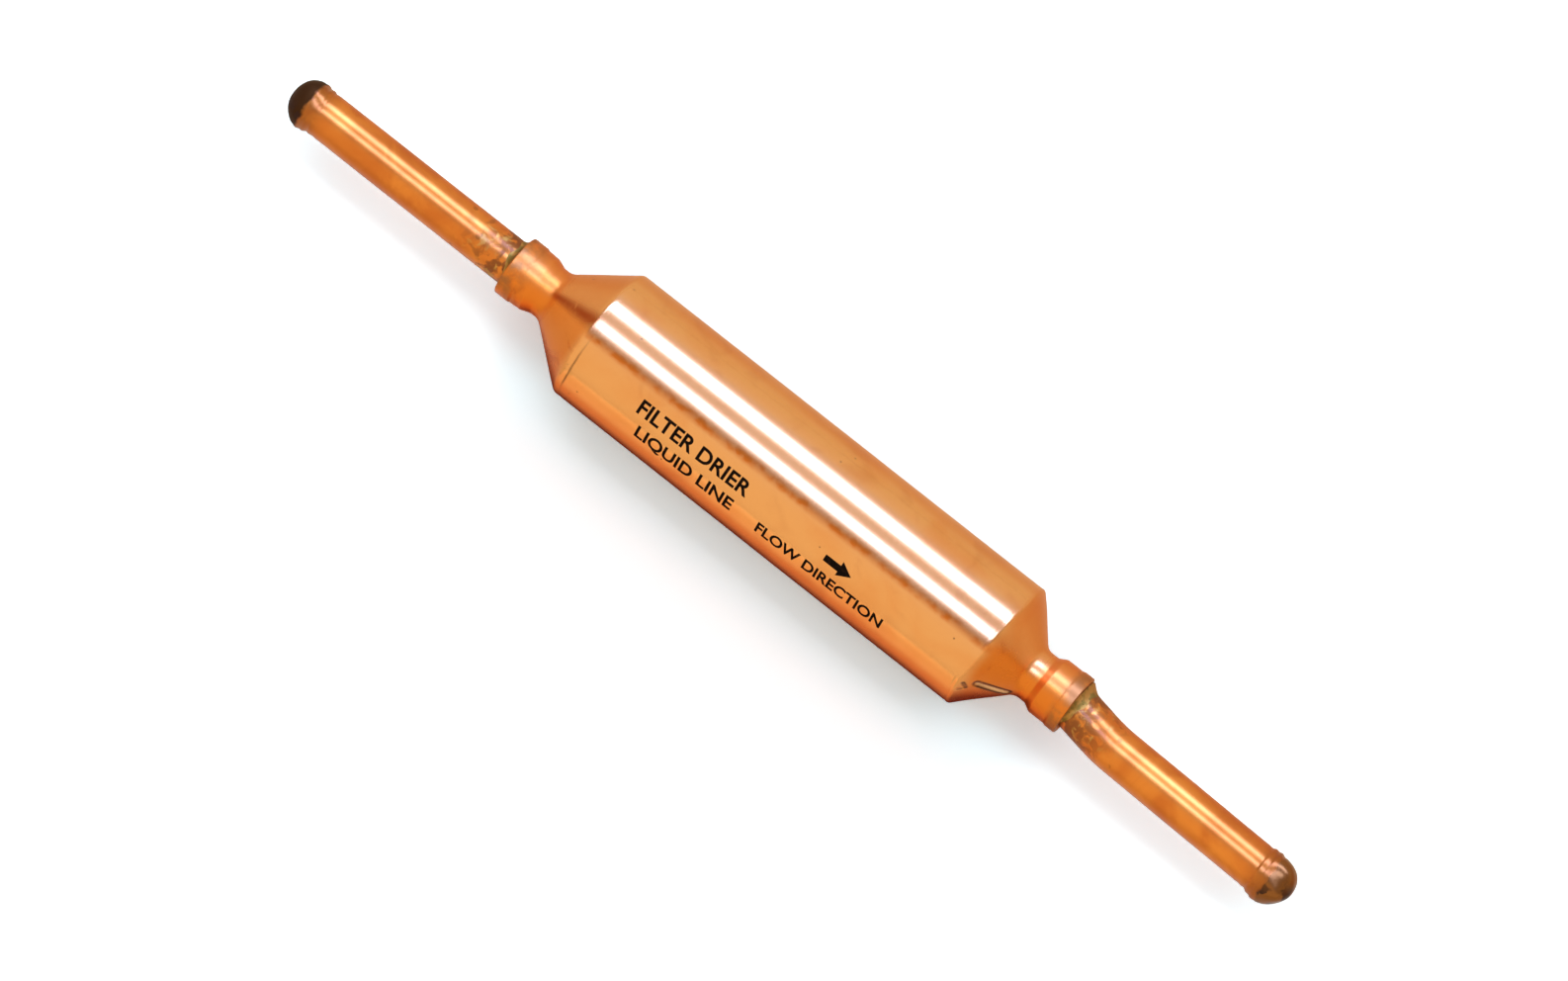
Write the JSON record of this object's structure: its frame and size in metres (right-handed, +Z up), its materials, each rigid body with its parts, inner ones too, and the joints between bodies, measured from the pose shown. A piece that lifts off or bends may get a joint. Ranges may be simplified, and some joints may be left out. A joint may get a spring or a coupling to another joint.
{
  "type": "filter drier",
  "caption": "Spun copper filter drier for a refrigerant line, with a brazed stub tube at each end that is closed at its tip.",
  "frame": {"origin": "on the axis of the body, at the middle of its length; the part lies on its side, so the origin is one body radius above what it rests on", "axes": "+X along the body's axis in the direction of flow, from the inlet stub to the outlet stub; +Z up; the outlet stub leans towards -Y"},
  "size_m": [0.249, 0.0286, 0.0286],
  "materials": {
    "copper": "bright drawn and spun copper, warm orange, with a satin sheen",
    "stub_copper": "annealed copper tube, deeper orange, heat-tinted at both ends, with a dark oxide on the closed tip",
    "braze": "matt tan and green-grey braze metal",
    "wire_cloth": "bronze wire cloth",
    "felt": "white glass-fibre felt",
    "desiccant": "matt beige molecular-sieve beads"
  },
  "bodies": {
    "root": {"shell": "copper", "inlet_stub_tube": "stub_copper", "outlet_stub_tube": "stub_copper", "inlet_braze": "braze", "outlet_braze": "braze", "inlet_screen": "wire_cloth", "outlet_screen": "wire_cloth", "inlet_felt_pad": "felt", "outlet_felt_pad": "felt", "desiccant_bed": "desiccant"}
  },
  "joints": []
}
